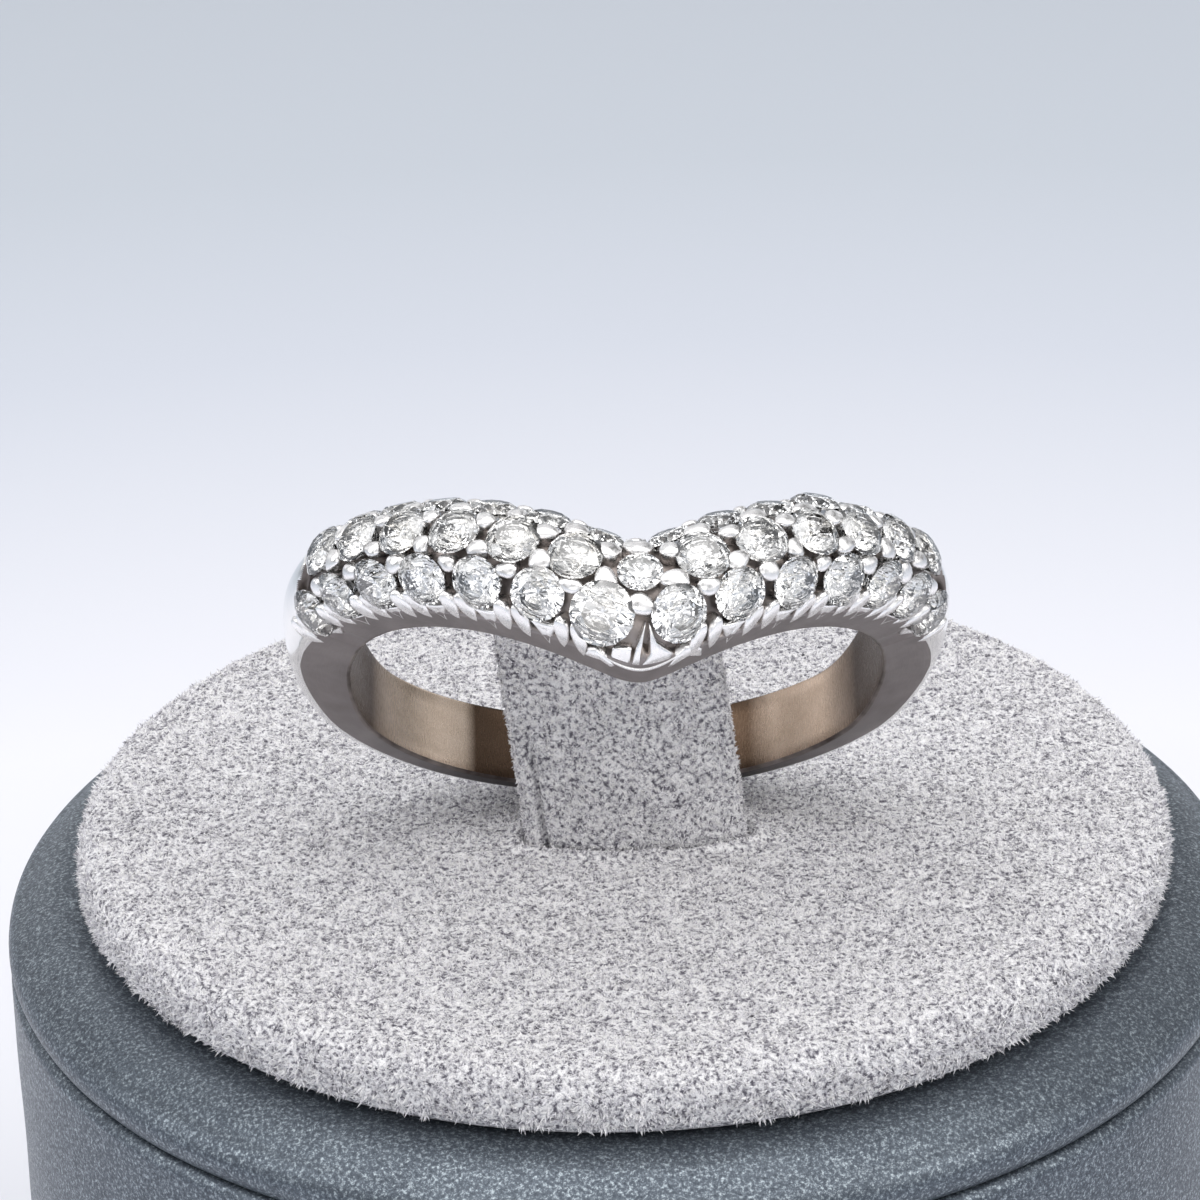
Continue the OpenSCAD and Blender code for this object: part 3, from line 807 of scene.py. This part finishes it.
# Stones, cut as round brilliants
def brilliant(d, spin):
    """Table, star, kite and upper girdle facets, a girdle, and a pavilion of two facet rings."""
    r = d / 2
    brow = GIRDLE * d / 2
    a8 = np.arange(8) * 45.0
    a16 = np.arange(16) * 22.5

    def ring(angles, rad, z):
        return np.stack([rad * cosd(angles + spin), rad * sind(angles + spin), z + 0 * angles], axis=1)

    top = brow + CROWN_H * d
    table = ring(a8 + 22.5, TABLE * r, top)
    star_r = r * (TABLE + 1) / 2 * STAR_IN
    star = ring(a8, star_r, brow + CROWN_H * d * (r - cosd(22.5) * star_r) / (r - TABLE * r))
    upper = ring(a16, r, brow)
    lower = ring(a16, r, -brow)
    low = ring(a8 + 22.5, r * LOW_R, -brow - PAVILION * d * LOW_DEPTH)
    culet = np.array([[0, 0, -brow - PAVILION * d]])
    pts = np.concatenate([table, star, upper, lower, low, culet])
    T, S, U, L, P, C = 0, 8, 16, 32, 48, 56
    faces = [[T + k for k in range(8)]]
    for k in range(8):
        k1 = (k + 1) % 8
        faces.append([S + k, T + k, T + (k - 1) % 8])
        faces.append([T + k, S + k, U + 2 * k + 1, S + k1])
        faces.append([S + k, U + 2 * k, U + 2 * k + 1])
        faces.append([S + k1, U + 2 * k + 1, U + (2 * k + 2) % 16])
        faces.append([L + 2 * k + 1, L + 2 * k, P + k])
        faces.append([L + (2 * k + 2) % 16, L + 2 * k + 1, P + k])
        faces.append([L + 2 * k, P + (k - 1) % 8, C, P + k])
    for k in range(16):
        k1 = (k + 1) % 16
        faces.append([U + k, L + k, L + k1, U + k1])
    return pts, faces


for row, j, phi, t, d in STONES:
    c, u, w, n = crown_frame(np.array(phi), np.array(t))
    c = c - sink_of(row, j) * n
    pts, faces = brilliant(d, RNG.uniform(0, 45))
    tip = np.radians(RNG.normal(0, STONE_TILT, 2))
    n2 = unit(n + tip[0] * u + tip[1] * w)
    u2 = unit(u - (u @ n2) * n2)
    w2 = np.cross(n2, u2)
    pts = c + pts[:, :1] * u2 + pts[:, 1:2] * w2 + pts[:, 2:] * n2
    stone = make_object(f"brilliant_{row.name}_{j + 1}", to_world(pts), faces, smooth_shade=False)
    stone.data.materials.append(diamond)
    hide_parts(f"stone_{row.name}_{j + 1}")
    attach(stone, "root")


# Stand
def slot_outline(grow, count):
    """Plan of the bowed tab as a loop with rounded corners, anticlockwise from its right side."""
    a = TAB_W / 2 + grow
    b = TAB_T / 2 + grow
    corner = min(b, 0.45 + grow)
    path = []
    for cx, cy, start in ((a - corner, b - corner, 0), (corner - a, b - corner, 90),
                          (corner - a, corner - b, 180), (a - corner, corner - b, 270)):
        q = np.linspace(start, start + 90, 12)
        path.append(np.stack([cx + corner * cosd(q), cy + corner * sind(q)], axis=1))
    path = np.concatenate(path)
    path = np.concatenate([path, path[:1]])
    run = np.concatenate([[0], np.cumsum(np.linalg.norm(np.diff(path, axis=0), axis=1))])
    s = np.linspace(0, run[-1], count, endpoint=False)
    xy = np.stack([np.interp(s, run, path[:, 0]), np.interp(s, run, path[:, 1])], axis=1)
    mid_r = BOW_R - TAB_T / 2
    ang = xy[:, 0] / mid_r
    rad = mid_r - xy[:, 1]
    return np.stack([rad * np.sin(ang), BOW_R - TAB_FRONT - rad * np.cos(ang)], axis=1)


def lean(xy, z):
    """Puts a level of the tab's plan at height z above the pad, leaning to the left."""
    a = math.radians(TAB_LEAN)
    x = xy[:, 0]
    return np.stack([TAB_RIGHT + x * math.cos(a) - z * math.sin(a), xy[:, 1],
                     STAND_H + z * math.cos(a) + x * math.sin(a)], axis=1)


def ripple(p, scale, amount, seed):
    """Small smooth unevenness, summed from a few seeded waves."""
    rng = np.random.default_rng(seed)
    out = np.zeros(p.shape[:-1])
    for k in range(14):
        way = rng.normal(size=3)
        way *= rng.uniform(0.6, 1.6) / scale / np.linalg.norm(way)
        out += np.sin(p @ way * 2 * math.pi + rng.uniform(0, 2 * math.pi))
    return out * amount / math.sqrt(14)


PAD_AROUND = 420
SLOT_GAP = 0.09  # between the tab and the pad's slot
UNDER = 0.8  # rounding of the pad's lower edge
SLOT_LIP = (0.2, 0.36, 0.3)  # height, place and width of the pad's raised edge along the slot
SLOT_DIP = (-0.25, 0, 0.14)  # and of the dip right beside the tab
TOP_LOOPS, TOP_CROWDED = 66, 1.25  # loops over the pad's top, closer by the slot


def bell(x, high, at, wide):
    return high * np.exp(-((x - at) / wide) ** 2)


def build_pad():
    slot_loop = slot_outline(SLOT_GAP, PAD_AROUND)
    slot_loop[:, 0] += TAB_RIGHT
    start = np.arctan2(slot_loop[:, 1] - slot_loop[:, 1].mean(), slot_loop[:, 0] - TAB_RIGHT)[0]
    ang = start + np.linspace(0, 2 * math.pi, PAD_AROUND, endpoint=False)
    rim = np.stack([np.cos(ang), np.sin(ang)], axis=1)
    levels = []
    base = STAND_H - PAD_T
    flat_r = PAD_R - PAD_EDGE
    for s in np.linspace(0, 1, TOP_LOOPS) ** TOP_CROWDED:
        xy = slot_loop * (1 - s) + rim * flat_r * s
        away = np.linalg.norm(xy - slot_loop, axis=1)
        levels.append(np.column_stack([xy, STAND_H + (bell(away, *SLOT_LIP) + bell(away, *SLOT_DIP))]))
    for q in np.linspace(0, 90, 9)[1:]:
        levels.append(np.column_stack([rim * (PAD_R - PAD_EDGE + PAD_EDGE * sind(q)),
                                       np.full(PAD_AROUND, STAND_H - PAD_EDGE + PAD_EDGE * cosd(q))]))
    for z in np.linspace(STAND_H - PAD_EDGE, base + UNDER, 4)[1:]:
        levels.append(np.column_stack([rim * PAD_R, np.full(PAD_AROUND, z)]))
    for q in np.linspace(0, 90, 7)[1:]:
        levels.append(np.column_stack([rim * (PAD_R - UNDER + UNDER * cosd(q)),
                                       np.full(PAD_AROUND, base + UNDER - UNDER * sind(q))]))
    for s in (0.5, 1.0):
        xy = rim * (PAD_R - UNDER) * (1 - s) + slot_loop * s
        levels.append(np.column_stack([xy, np.full(PAD_AROUND, base)]))
    for s in (0.3, 0.55, 0.75, 0.88, 0.95):
        levels.append(np.column_stack([slot_loop, np.full(PAD_AROUND, base + PAD_T * s)]))
    pts = np.stack(levels)
    flat = pts.reshape(-1, 3)
    up = smooth((flat[:, 2] - base - 0.3) / 1.5)
    flat[:, 2] += (ripple(flat, scale=1.6, amount=0.02, seed=3)
                   + ripple(flat, scale=0.5, amount=0.012, seed=4)) * up
    return flat, grid_faces(len(levels), PAD_AROUND, True, True)


pts, faces = build_pad()
pad = make_object("suede_pad_cover", pts, faces[:, ::-1])
pad.data.materials.append(suede)
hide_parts("suede_pad")
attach(pad, "root")


FOLD, FOLD_W, FOLD_D = 0.55, 0.12, 0.3  # the fold in the tab's suede: from its left edge, width, depth
FOLD_TOP = 5.5


def build_tab():
    around, soft, foot = 260, 0.42, -PAD_T + 0.1
    levels = []
    heights = np.concatenate([np.linspace(foot, TAB_H - TAB_CORNER, 60),
                              TAB_H - TAB_CORNER + TAB_CORNER * sind(np.linspace(0, 90, 22)[1:])])
    full = slot_outline(0, around)
    mid_r = BOW_R - TAB_T / 2
    for z in heights:
        over = max(0.0, z - (TAB_H - TAB_CORNER))
        a = 1 - (TAB_CORNER - math.sqrt(max(0, TAB_CORNER ** 2 - over ** 2))) / (TAB_W / 2)
        over = max(0.0, z - (TAB_H - soft))
        b = 1 - (soft - math.sqrt(max(0, soft ** 2 - over ** 2))) / (TAB_T / 2)
        centre_y = BOW_R - TAB_FRONT
        x, y = full[:, 0], full[:, 1] - centre_y
        ang, rad = np.arctan2(x, -y), np.hypot(x, y)
        fold = np.exp(-((x + TAB_W / 2 - FOLD) / FOLD_W) ** 2) * (rad > mid_r) * smooth((FOLD_TOP - z) / 2)
        rad = rad - FOLD_D * fold
        ang, rad = ang * a, mid_r + (rad - mid_r) * b
        levels.append(lean(np.stack([rad * np.sin(ang), centre_y - rad * np.cos(ang)], axis=1), z))
    pts = np.concatenate(levels)
    pts[:, 1] += ripple(pts, scale=1.5, amount=0.025, seed=8)
    return pts, tube_faces(len(levels), around)


pts, faces = build_tab()
tab = make_object("suede_tab_cover", pts, faces)
tab.data.materials.append(suede)
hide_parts("suede_tab")
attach(tab, "root")


SPARE = 1.5  # tufts tried for each one kept, and the ones in clumps are kept
CLUMP_SIZE, FLOW_SIZE = 0.34, 0.9  # of the clumps, and of the swirls in which the nap lies
STRAY = 0.7  # how much single tufts keep out of both
TUFT_LONG, TUFT_WIDE = (0.6, 1.25), (0.7, 1.3)  # limits of random shares
TUFT_ROOT = 0.02


def tufts(name, surface, count, seed, long, wide, raised, keep):
    """Short closed spikes of nap, clumped together and leaning over a surface."""
    rng = np.random.default_rng(seed)
    mesh = surface.data
    mesh.calc_loop_triangles()
    tri = np.empty(len(mesh.loop_triangles) * 3, int)
    mesh.loop_triangles.foreach_get("vertices", tri)
    tri = tri.reshape(-1, 3)
    co = np.empty(len(mesh.vertices) * 3)
    mesh.vertices.foreach_get("co", co)
    co = co.reshape(-1, 3) / MM
    a, b, c = co[tri[:, 0]], co[tri[:, 1]], co[tri[:, 2]]
    cross = np.cross(b - a, c - a)
    area = np.linalg.norm(cross, axis=1) / 2
    normal = cross / np.maximum(1e-9, 2 * area)[:, None]
    area = area * keep((a + b + c) / 3, normal)
    tries = int(count * SPARE)
    pick = rng.choice(len(tri), tries, p=area / area.sum())
    s, q = rng.random(tries), rng.random(tries)
    flip = s + q > 1
    s[flip], q[flip] = 1 - s[flip], 1 - q[flip]
    at = a[pick] + (b - a)[pick] * s[:, None] + (c - a)[pick] * q[:, None]
    clump = ripple(at, CLUMP_SIZE, 1.0, seed=77)
    best = np.argsort(clump + rng.normal(0, STRAY, tries))[-count:]
    at, n, clump = at[best], normal[pick][best], clump[best][:, None]
    flow = np.stack([ripple(at, FLOW_SIZE, 1.0, seed=90 + k) for k in range(3)], axis=1)
    way = rng.normal(size=(count, 3)) * STRAY + flow
    way = unit(way - (way * n).sum(1, keepdims=True) * n)
    side = np.cross(n, way)
    length = long * rng.uniform(*TUFT_LONG, count)[:, None] * np.clip(1 + 0.25 * clump, 0.5, 1.6)
    width = wide * rng.uniform(*TUFT_WIDE, count)[:, None]
    lift = np.radians(rng.uniform(*raised, count))[:, None]
    tip = at + way * length * np.cos(lift) + n * length * np.sin(lift)
    foot = at - n * TUFT_ROOT
    p0 = foot - side * width / 2
    p1 = foot + side * width / 2
    p2 = foot + way * width * 0.2 + n * width * 0.75
    pts = np.stack([p0, p1, p2, tip], axis=1).reshape(-1, 3)
    base = np.arange(count)[:, None] * 4
    faces = np.concatenate([base + np.array([[0, 1, 3]]), base + np.array([[1, 2, 3]]),
                            base + np.array([[2, 0, 3]]), base + np.array([[0, 2, 1]])])
    piece = make_object(name, pts, faces, smooth_shade=False)
    piece.data.materials.append(nap)
    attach(piece, "root")


# Where each nap grows, from the middles and normals of the faces
def on_top(p, n):
    near_slot = np.hypot((p[:, 0] - TAB_RIGHT) / 4.4, (p[:, 1] + TAB_FRONT - 0.9) / 2) < 1
    return (n[:, 2] > np.where(near_slot, 0.86, 0.6)) & (p[:, 2] > STAND_H - 0.6)


def on_side(p, n):
    return (n[:, 2] <= 0.6) & (np.hypot(p[:, 0], p[:, 1]) > PAD_R - 1.2) & (n[:, 2] > -0.6)


def above(p, n):
    lean_x = TAB_RIGHT - TAB_W / 2 + FOLD - (p[:, 2] - STAND_H) * math.tan(math.radians(TAB_LEAN))
    # The fold's crease grows no nap, so the darker base suede shows there as painted shade of the crease.
    in_fold = (np.abs(p[:, 0] - lean_x) < 0.13) & (p[:, 2] < STAND_H + 4)
    return (p[:, 2] > STAND_H - 0.3) & ~in_fold


tufts("pad_nap_top", pad, 47000, 21, 0.14, 0.11, (15, 60), on_top)
tufts("pad_nap_over", pad, 40000, 24, 0.13, 0.09, (10, 50), on_top)
tufts("pad_nap_side", pad, 15000, 22, 0.22, 0.1, (15, 80), on_side)
tufts("tab_nap", tab, 16000, 23, 0.14, 0.09, (15, 60), above)


LATHE_AROUND = 480
HUB = 0.2  # radius of the flat caps that close a turned piece


def lathe(name, profile, wobble):
    """A turned piece from (radius, height) pairs, which begin and end at the hub."""
    prof = np.array(profile, float)
    ang = np.linspace(0, 2 * math.pi, LATHE_AROUND, endpoint=False)
    pts = np.stack([prof[:, 0, None] * np.cos(ang), prof[:, 0, None] * np.sin(ang),
                    prof[:, 1, None] + 0 * ang], axis=-1).reshape(-1, 3)
    away = np.maximum(1e-6, np.hypot(pts[:, 0], pts[:, 1]))[:, None]
    out = np.column_stack([pts[:, :2] / away, 0 * pts[:, 2]])
    pts = pts + out * ripple(pts, scale=6, amount=wobble, seed=12)[:, None]
    return make_object(name, pts, tube_faces(len(prof), LATHE_AROUND))


SHOULDER_TOP = STAND_H - PAD_T - REST
SHOULDER_FOOT = STAND_H - PAD_T - SHOULDER_T
LIP_DROP = 0.77  # how far below the lip's middle the foot is, as a share of its radius
lip = (DRUM_R - LIP_R, SHOULDER_FOOT + LIP_R * LIP_DROP)
begin = (PAD_R + REST, SHOULDER_TOP)
slope = math.degrees(math.atan2(lip[1] - begin[1], lip[0] - begin[0])
                     + math.asin(LIP_R / math.dist(lip, begin)))
BULGE = 0.22  # how far the shoulder's slope stands out in its middle
touch = (lip[0] - LIP_R * sind(slope), lip[1] + LIP_R * cosd(slope))
CLEAR = 0.02  # between the pad and the shoulder's middle
profile = [(HUB, SHOULDER_TOP - CLEAR), (PAD_R - 1.0, SHOULDER_TOP - CLEAR), (PAD_R - 0.4, SHOULDER_TOP)]
for s in np.linspace(0, 1, 14)[:-1]:
    out = 4 * BULGE * s * (1 - s)
    profile.append((begin[0] + (touch[0] - begin[0]) * s - out * sind(slope),
                    begin[1] + (touch[1] - begin[1]) * s + out * cosd(slope)))
foot_angle = -math.degrees(math.asin(LIP_DROP))
for q in np.linspace(90 + slope, foot_angle, 16):
    profile.append((lip[0] + LIP_R * cosd(q), lip[1] + LIP_R * sind(q)))
profile += [(DRUM_R - 1.2, SHOULDER_FOOT), (HUB, SHOULDER_FOOT)]
shoulder = lathe("shoulder_cover", profile[::-1], wobble=0.012)

drum_top = SHOULDER_FOOT - REST
TOP_EDGE = 0.42
profile = [(HUB, 0.0), (DRUM_R - DRUM_EDGE, 0.0)]
profile += [(DRUM_R - DRUM_EDGE + DRUM_EDGE * sind(q), DRUM_EDGE - DRUM_EDGE * cosd(q))
            for q in np.linspace(15, 90, 6)]
profile += [(DRUM_R, z) for z in np.linspace(DRUM_EDGE, drum_top - TOP_EDGE, 30)[1:]]
profile += [(DRUM_R - TOP_EDGE + TOP_EDGE * cosd(q), drum_top - TOP_EDGE + TOP_EDGE * sind(q))
            for q in np.linspace(10, 90, 9)]
profile += [(DRUM_R - 2, drum_top), (HUB, drum_top)]
drum = lathe("drum_cover", profile, wobble=0.014)
for piece, node in ((shoulder, "stand_shoulder"), (drum, "stand_drum")):
    piece.data.materials.append(leatherette)
    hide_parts(node)
    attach(piece, "root")


# Floor, light and camera
LIGHT_POOL_R = 0.42  # radius of the floor's gradient, in metres


def build_stage():
    mat, tree, shader = new_material("floor_paper")
    put(shader, Roughness=0.9)
    shader.inputs["Specular IOR Level"].default_value = 0.1
    coords = object_coords(tree)
    gradient = tree.nodes.new("ShaderNodeTexGradient")
    gradient.gradient_type = "SPHERICAL"
    mapping = tree.nodes.new("ShaderNodeMapping")
    mapping.inputs["Scale"].default_value = (1 / LIGHT_POOL_R,) * 3
    tree.links.new(coords, mapping.inputs["Vector"])
    tree.links.new(mapping.outputs["Vector"], gradient.inputs["Vector"])
    # Painted light: a pool of light on the floor, brightest about 84 mm from the stand's middle, dimmer
    # towards the stand and far off.
    tree.links.new(ramp(tree, gradient.outputs["Fac"],
                        [(0.0, (0.55, 0.59, 0.65)), (0.6, (0.6, 0.64, 0.7)), (0.68, (0.66, 0.69, 0.76)),
                         (0.8, (0.84, 0.84, 0.89)), (0.95, (0.72, 0.73, 0.77))]),
                   shader.inputs["Base Color"])
    size = 3000
    floor = make_object("floor", [(-size, -size, 0), (size, -size, 0), (size, size, 0), (-size, size, 0)],
                        [[0, 1, 2, 3]], smooth_shade=False)
    floor.data.materials.append(mat)


build_stage()


def area_light(name, at, aim, size, power, colour=(1, 1, 1)):
    data = bpy.data.lights.new(name, "AREA")
    data.shape = "RECTANGLE"
    data.size, data.size_y = size[0] * MM, size[1] * MM
    data.energy = power
    data.color = colour
    obj = bpy.data.objects.new(name, data)
    bpy.context.scene.collection.objects.link(obj)
    at, aim = np.array(at, float) * MM, np.array(aim, float) * MM
    obj.location = at
    obj.rotation_mode = "QUATERNION"
    obj.rotation_quaternion = Vector(unit(aim - at)).to_track_quat("-Z", "Y")


area_light("softbox_top", (0, -60, 330), (0, 0, 40), (300, 300), 0.5, (1.0, 0.99, 0.98))
area_light("softbox_left", (-260, -60, 190), (0, 0, 40), (110, 220), 0.18, (0.97, 0.98, 1.0))
area_light("softbox_right", (240, -120, 220), (0, 0, 40), (80, 160), 0.23, (1.0, 0.99, 0.97))
area_light("softbox_front", (-60, -330, 90), (0, 0, 40), (240, 80), 0.11, (1.0, 0.985, 0.98))

world = bpy.data.worlds.new("studio")
bpy.context.scene.world = world
world.use_nodes = True
tree = world.node_tree
background = tree.nodes["Background"]
coords = tree.nodes.new("ShaderNodeTexCoord").outputs["Generated"]
panels = noise(tree, coords, 3.2, detail=2.0, rough=0.55)
panels = ramp(tree, panels, [(0.38, (0.12, 0.115, 0.11)), (0.45, (0.72, 0.74, 0.77)),
                             (0.56, (0.98, 0.98, 1.0)), (0.62, (1.7, 1.72, 1.76))])
tree.links.new(panels, background.inputs["Color"])
background.inputs["Strength"].default_value = 0.82

cam_data = bpy.data.cameras.new("camera")
cam_data.sensor_width = SENSOR
cam_data.lens = CAM_LENS
cam_data.clip_start, cam_data.clip_end = 0.01, 20
cam = bpy.data.objects.new("camera", cam_data)
bpy.context.scene.collection.objects.link(cam)
e, r = math.radians(CAM_ELEVATION), math.radians(CAM_ROLL)
forward = np.array([0, math.cos(e), -math.sin(e)])
level, up = np.array([1.0, 0, 0]), np.array([0, math.sin(e), math.cos(e)])
right = math.cos(r) * level + math.sin(r) * up
up = math.cos(r) * up - math.sin(r) * level
matrix = np.eye(4)
matrix[:3, 0], matrix[:3, 1], matrix[:3, 2], matrix[:3, 3] = right, up, -forward, np.array(CAM_AT) * MM
cam.matrix_world = Matrix(matrix.tolist())
bpy.context.scene.camera = cam
bpy.context.scene.view_settings.view_transform = "Standard"
